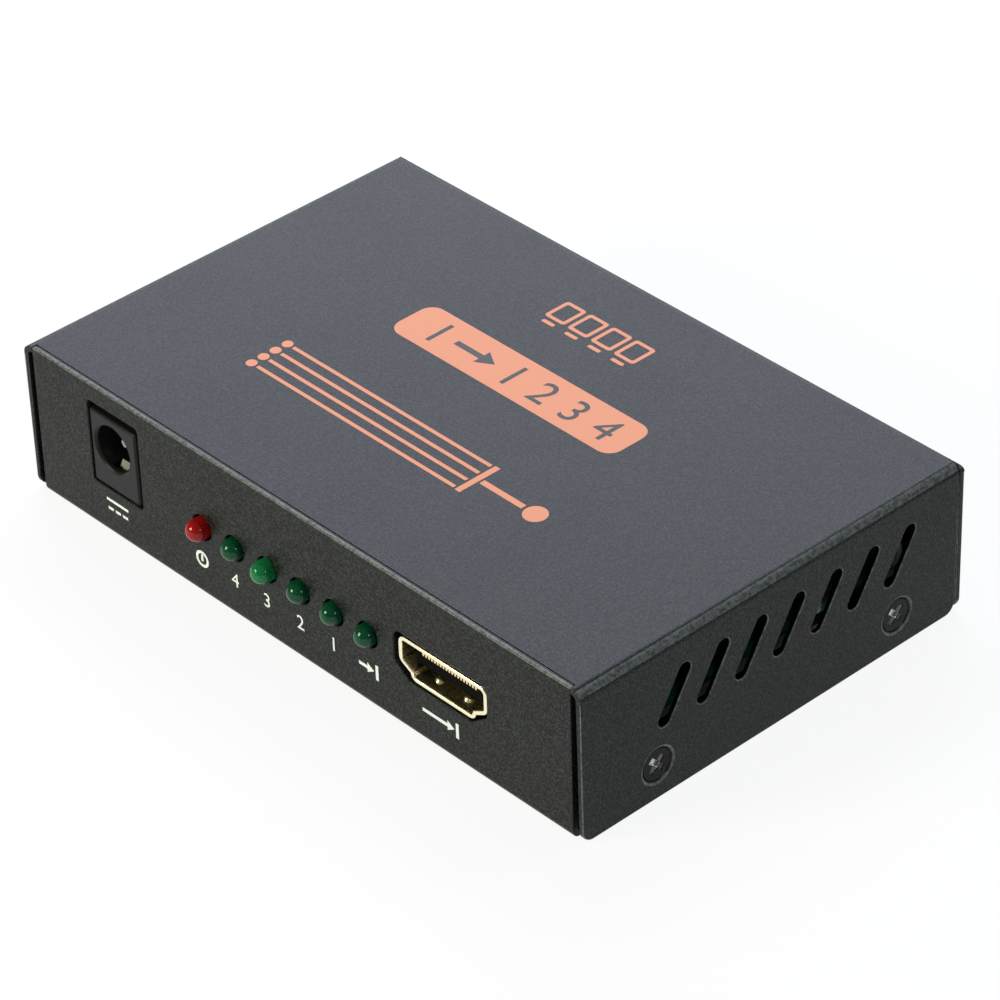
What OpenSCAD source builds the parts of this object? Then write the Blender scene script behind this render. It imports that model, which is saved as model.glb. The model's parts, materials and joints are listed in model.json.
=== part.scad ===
// Video signal splitter: one input at the front, four outputs at the rear, in a folded sheet steel case.
// The origin is the centre of the underside. +X is to the right seen from the front, +Y to the rear, +Z up.

/* [Case] */
// Width of the case over the cover's sides
case_w = 100; // [94:1:120]
// Depth of the case from the front panel's face to the rear panel's face
case_d = 63.2; // [60:0.2:80]
// Height of the case
case_h = 22; // [21.5:0.5:30]
// Thickness of the painted sheet
sheet_t = 0.8; // [0.6:0.1:1]
// Inner radius of the cover's folds
cover_fold_r = 0.7; // [0.4:0.1:1]
// Inner radius of the base's folds
base_fold_r = 0.3; // [0.2:0.1:0.8]
// Gap between the cover's sides and the base between them
side_gap = 0.9; // [0.7:0.1:1.2]
// Gap behind the front panel, where the cover's top meets it
front_seam = 0.05; // [0.05:0.05:0.3]
// Gap between the cover's sides and its own rear panel
rear_seam = 0.15; // [0.1:0.05:0.4]
// Width of the small notches where the cover's folds meet
fold_notch = 0.4; // [0.3:0.1:0.8]
// Height of the cover's lower edges above the table
cover_lift = 0.2; // [0.2:0.1:0.6]
// How far the front panel's top edge lies below the cover's top
panel_drop = 0.05; // [0.05:0.05:0.3]
// Gap between the base's rear edge and the rear panel
floor_gap = 0.3; // [0.2:0.1:0.6]
// Rounding of the lower corners of the cover's sides and rear panel
flap_corner_r = 1.6; // [1:0.1:2]

/* [Vents] */
// Number of slanted vents in each side
vent_count = 7; // [3:1:7]
// Distance from one vent to the next
vent_pitch = 6.25; // [5.5:0.25:6.5]
// Length of a vent from end to end
vent_len = 8.4; // [7:0.1:9]
// Width of a vent
vent_w = 2.1; // [1.5:0.1:2.5]
// Slant of a vent from upright
vent_slant = 31; // [20:1:40]
// Middle of the row of vents along the depth
vent_y = 1.9; // [-2:0.1:3]
// How far the vents lie below the middle of the height left above the screws
vent_drop = 0.3; // [0:0.1:1]

/* [Cover screws] */
// Thread of the cover's screws
screw_d = 2.5; // [2.3:0.1:3]
// Length of a cover screw with its sunk head
screw_len = 4; // [3.5:0.1:4.4]
// Width of a cover screw's head
screw_head_d = 4.4; // [4.2:0.1:5]
// Width of the dimple's mouth around a head
dimple_d = 5.2; // [5:0.1:5.8]
// Clearance around a head in its dimple
head_gap = 0.1; // [0.05:0.05:0.3]
// Distance between the two screws of a side
screw_spacing = 40; // [34:1:44]
// Middle of the two screws along the depth
screw_y = 0.4; // [-2:0.1:2]
// Height of the screws
screw_z = 5; // [4.6:0.1:6]
// Length of the base's tabs that take the screws
tab_len = 11; // [9:0.5:13]
// How far a tab reaches above its screw
tab_over = 4; // [3:0.5:5]
// Length of the threaded collar inside a tab
collar_l = 0.9; // [0.6:0.1:1.2]

/* [Circuit board] */
// Thickness of the board
board_t = 1.6; // [1.2:0.2:2]
// Height of the standoffs that carry the board
standoff_h = 4.9; // [4.5:0.1:5.5]
// Width of a standoff across its flats
standoff_w = 5.5; // [5:0.1:6]
// Width of the shank pressed into the base
standoff_shank_d = 4; // [3.5:0.1:4.2]
// Distance from the case's side to the board's edge
board_side_room = 5; // [4.8:0.1:6]
// Gap between the board's ends and the panels
board_end_gap = 0.5; // [0.3:0.1:1]
// Distance from the board's side to its screws
hole_inset_x = 3.5; // [3:0.1:4]
// Distance from the board's ends to its screws
hole_inset_y = 16.3; // [15:0.1:18]
// Thread of the board's screws
board_screw_d = 3; // [2.5:0.1:3.2]
// Width of a board screw's head
board_head_d = 5.5; // [5:0.1:6]
// Height of a board screw's head
board_head_h = 1.9; // [1.5:0.1:2.4]
// Length of a board screw under its head
board_screw_len = 5; // [4:0.1:5.5]

/* [Power jack] */
// Distance from the case's left side to the jack's bore
jack_inset = 16.4; // [15:0.1:18]
// Width of the jack
jack_w = 8.9; // [8.6:0.1:9.4]
// Length of the jack
jack_l = 14.2; // [13:0.1:15]
// Height of the jack
jack_h = 10.8; // [10.4:0.1:11.4]
// Height of the jack's bore above the board
jack_axis_h = 6.35; // [6.2:0.05:6.6]
// Width of the jack's bore
jack_bore_d = 6.4; // [6.2:0.1:6.8]
// How far the bore lies left of the jack's middle
jack_bore_off = 0.3; // [0:0.1:0.5]
// Depth of the jack's bore
jack_bore_l = 10; // [9:0.1:10.5]
// Width of the centre pin
jack_pin_d = 2.1; // [2:0.1:2.6]
// How far the centre pin stays behind the jack's face
jack_pin_recess = 1.9; // [1.5:0.1:3]
// How far the jack's face stays behind the panel's face
jack_recess = 0.1; // [0.05:0.05:0.6]
// Gap left of the jack in the panel, and below it
jack_cut_near = 0.1; // [0.1:0.05:0.3]
// Gap right of the jack in the panel
jack_cut_side = 0.65; // [0.2:0.05:0.8]
// Gap above the jack in the panel
jack_cut_top = 1.2; // [0.4:0.1:1.4]
// Rounding of the corners of the jack's opening
jack_cut_r = 0.5; // [0.2:0.1:0.8]

/* [Video sockets] */
// Distance from the case's right side to the input socket's middle
input_inset = 23.6; // [20:0.1:24]
// Distance from the case's sides to the middles of the outer output sockets
output_inset = 17; // [15:0.5:20]
// Width of a socket's mouth
port_w = 14; // [13.6:0.1:14.4]
// Height of a socket's mouth
port_h = 4.55; // [4.4:0.05:4.8]
// Width of the slant at each lower corner of the mouth
port_slant_w = 2.1; // [1.6:0.1:2.4]
// Height of the slant at each lower corner of the mouth
port_slant_h = 1.5; // [1.2:0.1:2]
// Rounding of the mouth's corners
port_corner_r = 0.5; // [0.3:0.1:0.6]
// Thickness of the socket's metal shell
port_shell_t = 0.35; // [0.25:0.05:0.4]
// Width of the rolled lip around the mouth
port_lip_w = 0.6; // [0.5:0.05:0.7]
// Thickness of the lip
port_lip_t = 0.4; // [0.3:0.05:0.6]
// Length of a socket's shell
port_l = 11; // [10:0.1:12]
// Height of a socket's middle above the board
port_axis_h = 3.4; // [3.3:0.05:3.6]
// How far a socket's mouth stays behind the panel's face
port_recess = 0.2; // [0.1:0.05:0.3]
// Gap around a socket's lip in its panel
port_cut_gap = 0.35; // [0.25:0.05:0.5]
// Width of a socket's contact tongue
tongue_w = 11.3; // [11:0.1:11.6]
// Thickness of a socket's contact tongue
tongue_t = 1.6; // [1.4:0.05:1.8]
// How far the tongue stays behind the mouth
tongue_recess = 1.2; // [1:0.1:2]
// Distance between the contacts of one row
contact_pitch = 1; // [0.9:0.05:1]

/* [Lamps] */
// Width of a lamp's lens
lamp_d = 3; // [2.8:0.1:3.2]
// Length of a lamp from its tip to the back of its flange
lamp_l = 5.3; // [5:0.1:5.8]
// Width of a lamp's flange
lamp_flange_d = 3.8; // [3.6:0.1:4]
// Gap around a lamp's lens in the panel
lamp_hole_gap = 0.25; // [0.15:0.05:0.4]
// Distance from one lamp to the next
lamp_pitch = 6.04; // [5.5:0.01:6.4]
// Distance from the middle of the row of lamps to the input socket's middle
lamp_row_off = 27.97; // [27:0.01:29]
// Height of the lamps above the board
lamp_axis_h = 3.3; // [3:0.1:3.6]
// How far most lamps stand out of the front panel
lamp_reach = 1.7; // [1.2:0.1:2.2]
// How much further the two lamps stand out that were soldered in forward
lamp_extra = 0.5; // [0:0.1:0.8]

/* [Parts on the board] */
// Width of the main chip
chip_w = 14; // [12:0.5:15]
// Height of the main chip
chip_h = 1.4; // [1:0.1:2]
// Width of the power coil
coil_w = 7; // [6:0.1:8]
// Height of the power coil
coil_h = 4.5; // [3:0.1:5]
// Width of a filter capacitor
cap_d = 6.3; // [5:0.1:7]
// Height of a filter capacitor
cap_h = 7.7; // [6:0.1:8]
// Length of the clock crystal
crystal_l = 11; // [9:0.1:12]
// Height of the clock crystal
crystal_h = 3.6; // [3:0.1:4.2]

/* [Hidden] */
$fn = 48;

// Shared clearances
over = 1;           // how far a cutter runs past the face that it cuts
thread_gap = 0.05;  // a screw's shank to the thread around it
press_gap = 0.03;   // a pressed shank to its hole
slip_gap = 0.1;     // a piece to the groove that holds it
lead_gap = 0.2;     // a wire or leg to its hole in the board
lead_tail = 0.8;    // how far wires and legs stand out under the board
corner_steps = 6;   // flats in each round corner of an outline

// Case faces
half_w = case_w / 2;
half_d = case_d / 2;
fold_lap = sheet_t;  // straight of sheet drawn with a fold, within the flat that it joins
cover_r = cover_fold_r + sheet_t;
base_r = base_fold_r + sheet_t;
inner_w = half_w - sheet_t;
base_half = inner_w - side_gap;
front_in = sheet_t - half_d;
rear_in = half_d - sheet_t;
side_rear = rear_in - rear_seam;
fold_half = half_w - cover_r - fold_notch;
panel_top = case_h - panel_drop;
floor_rear = rear_in - floor_gap;

// Vents, cover screws and tabs
vent_z = (screw_z + dimple_d / 2 + case_h - cover_r) / 2 - vent_drop;
screw_ys = [screw_y - screw_spacing / 2, screw_y + screw_spacing / 2];
hole_r = screw_d / 2 + 2 * slip_gap;
head_sink = (dimple_d - screw_head_d) / 2 - head_gap;  // a head lies this deep in its 90 degree dimple
dimple_wall = 0.5;
collar_wall = 0.7;
tab_top = screw_z + tab_over;
cross_w = 0.8;
cross_depth = 0.9;
sink_cross_depth = 0.7;  // the cross of a sunk head, with a wall around it
sink_cross_wall = 0.2;
sink_cross_l = screw_head_d - 2 * (sink_cross_depth + sink_cross_wall);

// Board
board_half_w = half_w - board_side_room;
board_half_d = half_d - sheet_t - board_end_gap;
board_z = sheet_t + standoff_h;
board_top = board_z + board_t;
board_low = board_z - lead_tail;
board_hole_x = board_half_w - hole_inset_x;
board_hole_y = board_half_d - hole_inset_y;
board_corner_r = 1;
standoff_thread_l = board_screw_len - board_t + over / 2;

// Power jack
jack_x = jack_inset - half_w;
jack_front = jack_recess - half_d;
jack_back = jack_front + jack_l;
jack_z = board_top + jack_axis_h;
jack_left = jack_x - jack_w / 2 + jack_bore_off;
jack_mid_y = jack_front + jack_l / 2;
pin_shoulder = 0.2;   // the pin is thicker where the body holds it
shoulder_out = 0.4;   // how far that thick part stands into the bore
leaf_w = 1.6;
leaf_t = 0.3;
leaf_room = 0.3;
leaf_lift = 0.45;     // how far the leaf's crest stands into the bore
leaf_drop = 1.1;      // how far the leaf's root lies below the bore
channel_depth = 2.2;  // depth of the leaf's channel below the bore
leaf_tip_in = 1.2;    // the leaf's tip, crest and root, from the jack's face and back
leaf_crest_in = 2.4;
leaf_root_in = 1.8;
leaf_tip_y = jack_front + leaf_tip_in;
leaf_crest_y = jack_front + leaf_crest_in;
leaf_root_y = jack_back - leaf_root_in;
bore_low = jack_z - jack_bore_d / 2;
leaf_root_z = bore_low - leaf_drop;
channel_w = leaf_w + 2 * leaf_room;
tag_t = 0.4;
tag_w = channel_w - 2 * slip_gap;
switch_y = jack_mid_y - 1;

// Video sockets
port_y = half_d - port_recess;
port_z = board_top + port_axis_h;
mouth = [
  [port_slant_w - port_w / 2, -port_h / 2],
  [port_w / 2 - port_slant_w, -port_h / 2],
  [port_w / 2, port_slant_h - port_h / 2],
  [port_w / 2, port_h / 2],
  [-port_w / 2, port_h / 2],
  [-port_w / 2, port_slant_h - port_h / 2]
];
input_x = half_w - input_inset;
output_pitch = (case_w - 2 * output_inset) / 3;
output_xs = [for (i = [0 : 3]) (1.5 - i) * output_pitch];
input_cut_shift = [-0.2, 0.15];  // the input's opening was punched a little off the socket
block_l = 3;          // moulded block that closes the rear of a shell
foot_l = 1.2;         // foot behind the shell that stands on the board
foot_top = 1.4;
contact_w = 0.4;
contact_t = 0.12;
contact_back = 0.6;   // the lower contacts start this far behind the tongue's edge
tail_w = 0.25;
tail_t = 0.2;
toe_l = 1;
leg_w = 1;
leg_ys = [2.4, 7.4];
bump_x = 2.45;
bump_y = 1.9;
bump_h = 0.45;
bump_r = 0.75;

// Lamps, from the left: power, channels 4 to 1, input
lamp_row_x = input_x - lamp_row_off;
lamp_xs = [for (i = [0 : 5]) lamp_row_x + (i - 2.5) * lamp_pitch];
lamp_forward = [1, 0, 1, 0, 0, 0];
lamp_z = board_top + lamp_axis_h;
lamp_flange_l = 1;
lead_w = 0.5;
lead_spread = 1.27;
lead_in = 5.4;
lead_y = lead_in - half_d;

// Places of the parts on the board
chip_at = [4, 1];
chip_lead_count = 16;
chip_lead_pitch = 0.75;
memory_at = [-18, 4];
memory_size = [4, 5, 1.5];
memory_lead_pitch = 1.27;
regulator_size = [6.5, 3.5, 1.6];
regulator_back = 6.5;  // from the jack's rear to the regulator's middle
regulator_at = [jack_x, jack_back + regulator_back];
regulator_lead_pitch = 2.3;
coil_inset = 10;      // from the board's left side to the coil's middle
coil_at = [coil_inset - board_half_w, 2];
cap_ats = [[-22, -5], [-25, 11]];
cap_base_h = 1;
crystal_inset = 17;   // from the board's right side to the crystal's middle
crystal_at = [board_half_w - crystal_inset, -5];
crystal_d = 4.6;
crystal_base_h = 0.5;
small_part = [1.6, 0.8, 0.7];
output_inner_y = port_y - port_l - foot_l - toe_l;
resistor_row_gap = 1.6;  // from the resistors to the output sockets' tails
resistor_row_y = output_inner_y - resistor_row_gap;
resistor_pitch = 2.6;
capacitor_row_gap = 3;   // from the main chip's front to its row of capacitors
capacitor_side_gap = 3.5;  // from the main chip's sides to the pairs beside it
capacitor_row_y = chip_at[1] - chip_w / 2 - capacitor_row_gap;
chip_stand = 0.1;        // gap between a chip's body and the board
chip_lead_w = 0.35;
memory_lead_w = 0.4;
regulator_lead_w = 0.7;
regulator_tab_w = 3;

// Helpers

function edge_out(p, q) = let(d = (q - p) / norm(q - p)) [d[1], -d[0]];

// Outline with every side moved outwards by g, for points that run anticlockwise round a convex shape
function grown(points, g) = [
  for (i = [0 : len(points) - 1])
    let(n = len(points))
    let(before = edge_out(points[(i + n - 1) % n], points[i]))
    let(after = edge_out(points[i], points[(i + 1) % n]))
    points[i] + (before + after) * g / (1 + before * after)
];

// Points of an arc about c that starts at the direction of u and turns to the direction of v
function arc_points(c, r, u, v) =
  let(from = atan2(u[1], u[0]))
  let(sweep = acos(min(1, u * v)))
  [
    for (k = [0 : corner_steps])
      let(a = from + sweep * k / corner_steps)
      c + r * [cos(a), sin(a)]
  ];

// The same outline with round corners
module soft_polygon(points, r) {
  n = len(points);
  centres = grown(points, -r);
  polygon([
    for (i = [0 : n - 1])
      let(before = edge_out(points[(i + n - 1) % n], points[i]))
      let(after = edge_out(points[i], points[(i + 1) % n]))
      each arc_points(centres[i], r, before, after)
  ]);
}

function box_points(x0, y0, x1, y1) = [[x0, y0], [x1, y0], [x1, y1], [x0, y1]];

// Carry a flat XZ outline along Y, or a flat YZ outline along X
module along_y(y0, y1) translate([0, y1, 0]) rotate([90, 0, 0]) linear_extrude(y1 - y0) children();
module along_x(x0, x1) translate([x0, 0, 0]) rotate([90, 0, 90]) linear_extrude(x1 - x0) children();

// Outline that is square below and round at its two upper corners
module arch(half, low, top, r) {
  translate([-half, low]) square([2 * half, top - r - low]);
  translate([r - half, low]) square([2 * (half - r), top - low]);
  for (s = [-1, 1]) translate([s * (half - r), top - r]) circle(r);
}

// Quarter of a folded sheet's bend, in the quadrant that turn degrees point to,
// with a short straight at both ends
module fold(r_in, turn) {
  rotate(turn) {
    intersection() {
      difference() {
        circle(r_in + sheet_t);
        circle(r_in);
      }
      square(r_in + sheet_t);
    }
    translate([r_in, -fold_lap]) square([sheet_t, fold_lap]);
    translate([-fold_lap, r_in]) square([fold_lap, sheet_t]);
  }
}

// Cutter for a rounded outer corner along X, in the quadrant that turn degrees point to
module corner_cut(y, z, r, turn) {
  along_x(-half_w - over, half_w + over)
    translate([y, z]) rotate(turn) difference() {
      translate([-r, -r]) square(r + over);
      translate([-r, -r]) circle(r);
    }
}

// Each of the two screw places on each side: children are drawn with +X outwards, at the screw's axis
module at_side_screws() {
  for (s = [0, 1], y = screw_ys)
    translate([0, y, screw_z]) mirror([s, 0, 0]) children();
}

module at_board_holes() {
  for (sx = [-1, 1], sy = [-1, 1])
    translate([sx * board_hole_x, sy * board_hole_y, 0]) children();
}

// Cross recess, cut downwards from the head's top face
module cross_recess(depth, l, w) {
  for (turn = [0, 90])
    rotate(turn) translate([-l / 2, -w / 2, -depth]) cube([l, w, depth + over]);
}

// Case

module port_cut(g) soft_polygon(grown(mouth, port_lip_w + g), port_corner_r + port_lip_w);

module base_tray() {
  color("#3b3b37") difference() {
    union() {
      difference() {
        translate([-base_half, base_r - half_d, 0])
          cube([2 * base_half, floor_rear - base_r + half_d, sheet_t]);
        for (s = [-1, 1], y = screw_ys)
          translate([s * base_half, y, 0])
            cube([2 * base_r, tab_len + 2 * fold_notch, 4 * sheet_t], center = true);
      }
      along_x(-base_half, base_half) translate([base_r - half_d, base_r]) fold(base_fold_r, 180);
      along_y(-half_d, front_in) difference() {
        translate([-base_half, base_r]) square([2 * base_half, panel_top - base_r]);
        translate([jack_left - jack_cut_near, 0]) jack_opening();
        translate([input_x, port_z] + input_cut_shift) port_cut(port_cut_gap);
        for (x = lamp_xs) translate([x, lamp_z]) circle(lamp_d / 2 + lamp_hole_gap);
      }
      for (s = [0, 1], y = screw_ys)
        translate([0, y, 0]) mirror([s, 0, 0]) along_y(-tab_len / 2, tab_len / 2) tab_section();
      at_side_screws() translate([base_half - sheet_t - collar_l, 0, 0]) rotate([0, 90, 0])
        cylinder(h = collar_l + sheet_t / 2, r = screw_d / 2 + collar_wall);
    }
    at_side_screws() translate([base_half - sheet_t - collar_l - over, 0, 0]) rotate([0, 90, 0])
      cylinder(h = sheet_t + collar_l + 2 * over, r = screw_d / 2);
    at_board_holes() translate([0, 0, -over])
      cylinder(h = sheet_t + 2 * over, r = standoff_shank_d / 2 + press_gap);
  }
}

// Tab folded up from the floor, as an XZ outline
module tab_section() {
  translate([base_half - base_r, base_r]) fold(base_fold_r, 270);
  translate([base_half - 2 * base_r, 0]) square([base_r, sheet_t]);
  translate([base_half - sheet_t, base_r]) square([sheet_t, tab_top - base_r]);
}

module jack_opening() {
  low = board_top - jack_cut_near;
  wide = jack_w + jack_cut_near + jack_cut_side;
  soft_polygon(box_points(0, low, wide, board_top + jack_h + jack_cut_top), jack_cut_r);
}

module top_cover() {
  color("#585c64") difference() {
    union() {
      difference() {
        along_y(-half_d, side_rear) difference() {
          arch(half_w, cover_lift, case_h, cover_r);
          arch(inner_w, cover_lift - over, case_h - sheet_t, cover_fold_r);
        }
        translate([-base_half - front_seam, -half_d - over, 0])
          cube([2 * (base_half + front_seam), sheet_t + front_seam + over, case_h + over]);
        translate([-fold_half, half_d - cover_r, case_h - cover_r])
          cube([2 * fold_half, cover_r, cover_r + over]);
        corner_cut(-half_d, cover_lift, flap_corner_r, 180);
        corner_cut(side_rear, cover_lift, flap_corner_r, 270);
        corner_cut(half_d, case_h, cover_r, 0);
      }
      along_x(-fold_half, fold_half) translate([half_d - cover_r, case_h - cover_r]) fold(cover_fold_r, 0);
      rear_panel();
      at_side_screws() translate([base_half, 0, 0]) rotate([0, 90, 0])
        cylinder(h = side_gap + sheet_t / 2, r = hole_r + dimple_wall + sheet_t / 2);
    }
    for (i = [0 : vent_count - 1])
      along_x(-half_w - over, half_w + over)
        translate([vent_y + (i - (vent_count - 1) / 2) * vent_pitch, vent_z]) vent_outline();
    at_side_screws() dimple_cut();
  }
}

module vent_outline() {
  run = vent_len - vent_w;
  rotate(-vent_slant) {
    translate([-vent_w / 2, -run / 2]) square([vent_w, run]);
    for (s = [-1, 1]) translate([0, s * run / 2]) circle(vent_w / 2);
  }
}

// Hole and 90 degree sink for a cover screw, along +X
module dimple_cut() {
  sink = dimple_d / 2 - hole_r;
  translate([base_half - over, 0, 0]) rotate([0, 90, 0])
    cylinder(h = half_w - base_half + 2 * over, r = hole_r);
  translate([half_w - sink, 0, 0]) rotate([0, 90, 0])
    cylinder(h = sink + over, r1 = hole_r, r2 = hole_r + sink + over);
}

// Rear panel, with its two upper corners rounded off to follow the fold between them
module rear_panel() {
  difference() {
    along_y(rear_in, half_d) difference() {
      arch(half_w, cover_lift, case_h, cover_r);
      translate([-fold_half - fold_notch, case_h - cover_r])
        square([2 * (fold_half + fold_notch), cover_r + over]);
      for (x = output_xs) translate([x, port_z]) port_cut(port_cut_gap);
      for (s = [0, 1]) mirror([s, 0])
        translate([half_w - flap_corner_r, cover_lift + flap_corner_r]) difference() {
          translate([0, -flap_corner_r - over]) square(flap_corner_r + over);
          circle(flap_corner_r);
        }
    }
    corner_cut(half_d, case_h, cover_r, 0);
  }
}

module cover_screws() {
  sink = screw_head_d / 2 - screw_d / 2;
  face = half_w - head_sink;
  color("#26282a") at_side_screws() translate([face, 0, 0]) rotate([0, 90, 0]) difference() {
    union() {
      translate([0, 0, -sink]) cylinder(h = sink, r1 = screw_d / 2 - thread_gap, r2 = screw_head_d / 2);
      translate([0, 0, -screw_len]) cylinder(h = screw_len, r = screw_d / 2 - thread_gap);
    }
    rotate(45) cross_recess(sink_cross_depth, sink_cross_l, cross_w);
  }
}

// Circuit board and its fixings

module circuit_board() {
  color("#1d5c43") difference() {
    translate([0, 0, board_z]) linear_extrude(board_t)
      soft_polygon(box_points(-board_half_w, -board_half_d, board_half_w, board_half_d), board_corner_r);
    at_board_holes() board_hole(board_screw_d / 2 + lead_gap);
    for (x = lamp_xs, s = [-1, 1])
      translate([x + s * lead_spread, lead_y, 0]) board_hole(lead_w / 2 + lead_gap);
    at_input() leg_slots();
    for (i = [0 : 3]) at_output(i) leg_slots();
    translate([jack_x, jack_back + tag_t / 2, 0]) board_slot(tag_w, tag_t);
    translate([jack_x, jack_back - 1.5 * tag_t, 0]) board_slot(tag_w, tag_t);
    translate([jack_left + jack_w - tag_t / 2, switch_y, 0]) board_slot(tag_t, leaf_w);
  }
}

module board_hole(r) translate([0, 0, board_z - over]) cylinder(h = board_t + 2 * over, r = r);

module board_slot(wide, deep) {
  translate([-wide / 2 - lead_gap / 2, -deep / 2 - lead_gap / 2, board_z - over])
    cube([wide + lead_gap, deep + lead_gap, board_t + 2 * over]);
}

module leg_slots() {
  for (s = [-1, 1], y = leg_ys)
    translate([s * (port_w + port_shell_t) / 2, y, -port_z]) board_slot(port_shell_t, leg_w);
}

module board_standoffs() {
  color("#b9a25a") at_board_holes() difference() {
    union() {
      translate([0, 0, sheet_t]) cylinder(h = standoff_h, d = standoff_w / cos(30), $fn = 6);
      cylinder(h = sheet_t + standoff_h / 2, r = standoff_shank_d / 2);
    }
    translate([0, 0, board_z - standoff_thread_l])
      cylinder(h = standoff_thread_l + over, r = board_screw_d / 2);
  }
}

module board_screws() {
  color("#c9ccd0") at_board_holes() translate([0, 0, board_top]) difference() {
    union() {
      cylinder(h = board_head_h, r = board_head_d / 2);
      translate([0, 0, -board_screw_len])
        cylinder(h = board_screw_len + board_head_h / 2, r = board_screw_d / 2 - thread_gap);
    }
    translate([0, 0, board_head_h]) cross_recess(cross_depth, board_screw_d, cross_w);
  }
}

// Power jack

module jack_body() {
  color("#2b2c2d") difference() {
    translate([jack_left, jack_front, board_top]) cube([jack_w, jack_l, jack_h]);
    translate([jack_x, jack_front + jack_bore_l, jack_z]) rotate([90, 0, 0])
      cylinder(h = jack_bore_l + over, r = jack_bore_d / 2);
    translate([jack_x, jack_back + over, jack_z]) rotate([90, 0, 0])
      cylinder(h = jack_l - jack_bore_l + 2 * over, r = jack_pin_d / 2 + pin_shoulder + press_gap);
    translate([jack_x - channel_w / 2, leaf_tip_y - slip_gap, bore_low - channel_depth])
      cube([channel_w, jack_back + over - leaf_tip_y, channel_depth + jack_bore_d / 4]);
    translate([jack_x - channel_w / 2, jack_back - 2 * tag_t - slip_gap, board_top - over])
      cube([channel_w, 2 * tag_t + slip_gap + over, leaf_root_z - board_top + over]);
    translate([jack_left + jack_w - tag_t - slip_gap, switch_y - leaf_w / 2 - slip_gap, board_top - over])
      cube([tag_t + slip_gap + over, leaf_w + 2 * slip_gap, leaf_root_z - board_top + over]);
  }
}

// Centre pin, thicker in the jack's rear wall, with the flat tag behind it that is soldered into the board
module jack_pin() {
  tip = jack_front + jack_pin_recess;
  r = jack_pin_d / 2;
  color("#c9c3b4") {
    translate([jack_x, jack_back + tag_t / 2, jack_z]) rotate([90, 0, 0])
      cylinder(h = jack_back + tag_t / 2 - tip - r / 2, r = r);
    translate([jack_x, jack_back + tag_t / 2, jack_z]) rotate([90, 0, 0])
      cylinder(h = jack_l - jack_bore_l + shoulder_out + tag_t / 2, r = r + pin_shoulder);
    translate([jack_x, tip + r / 2, jack_z]) rotate([90, 0, 0]) cylinder(h = r / 2, r1 = r, r2 = r / 2);
    translate([jack_x - tag_w / 2, jack_back, board_low]) cube([tag_w, tag_t, jack_z + r - board_low]);
  }
}

// Leaf that a plug presses down: it turns about its root, where the spring strip bends
module jack_leaf_spring() {
  crest = bore_low + leaf_lift;
  tip = bore_low - leaf_lift;
  root = leaf_root_z;
  color("#d8b468") translate([jack_x, 0, 0]) along_x(-leaf_w / 2, leaf_w / 2) polygon([
    [leaf_tip_y + leaf_t, tip - leaf_t], [leaf_crest_y - leaf_t, crest - leaf_t],
    [leaf_crest_y + leaf_t, crest - leaf_t], [leaf_root_y, root - leaf_t / 2],
    [leaf_root_y, root + leaf_t / 2], [leaf_crest_y + leaf_t, crest],
    [leaf_crest_y - leaf_t, crest], [leaf_tip_y + leaf_t, tip]
  ]);
}

// Fixed end of the spring strip, with its solder tag
module jack_sleeve_terminal() {
  start = leaf_root_y + slip_gap;
  back = jack_back - tag_t;
  color("#d8b468") translate([jack_x, 0, 0]) along_x(-tag_w / 2, tag_w / 2) polygon([
    [start, leaf_root_z - leaf_t / 2], [back - tag_t, leaf_root_z - leaf_t / 2], [back - tag_t, board_low],
    [back, board_low], [back, leaf_root_z + leaf_t / 2], [start, leaf_root_z + leaf_t / 2]
  ]);
}

module jack_switch_terminal() {
  color("#d8b468") translate([jack_left + jack_w - tag_t, switch_y - leaf_w / 2, board_low])
    cube([tag_t, leaf_w, leaf_root_z - slip_gap - board_low]);
}

// Video sockets: each is drawn with its mouth at y = 0 facing -Y and its middle at z = 0

module at_input() translate([input_x, -port_y, port_z]) children();
module at_output(i) translate([output_xs[i], port_y, port_z]) rotate(180) children();

module socket_shell() {
  color("#e3cf96") difference() {
    union() {
      along_y(0, port_l) soft_polygon(grown(mouth, port_shell_t), port_corner_r + port_shell_t);
      along_y(0, port_lip_t) port_cut(0);
      for (s = [-1, 1], y = leg_ys)
        translate([s * (port_w + port_shell_t) / 2 - port_shell_t / 2, y - leg_w / 2, board_low - port_z])
          cube([port_shell_t, leg_w, port_z - board_low]);
    }
    along_y(-over, port_l + over) soft_polygon(mouth, port_corner_r);
  }
  color("#e3cf96") for (s = [-1, 1])
    translate([s * bump_x, bump_y, -port_h / 2 - port_shell_t / 2])
      cylinder(h = bump_h + port_shell_t / 2, r1 = bump_r, r2 = bump_r / 2);
}

module socket_tongue() {
  block = port_l - block_l;
  color("#1b1b1c") {
    along_y(block, port_l) soft_polygon(grown(mouth, -slip_gap), port_corner_r - slip_gap);
    translate([-tongue_w / 2, tongue_recess, -tongue_t / 2])
      cube([tongue_w, block + block_l / 2 - tongue_recess, tongue_t]);
    translate([-tongue_w / 2, port_l - block_l / 2, -tongue_t / 2])
      cube([tongue_w, block_l / 2 + foot_l, tongue_t / 2 + foot_top]);
    translate([-tongue_w / 2, port_l + slip_gap, -port_axis_h])
      cube([tongue_w, foot_l - slip_gap, port_axis_h + foot_top]);
  }
}

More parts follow.
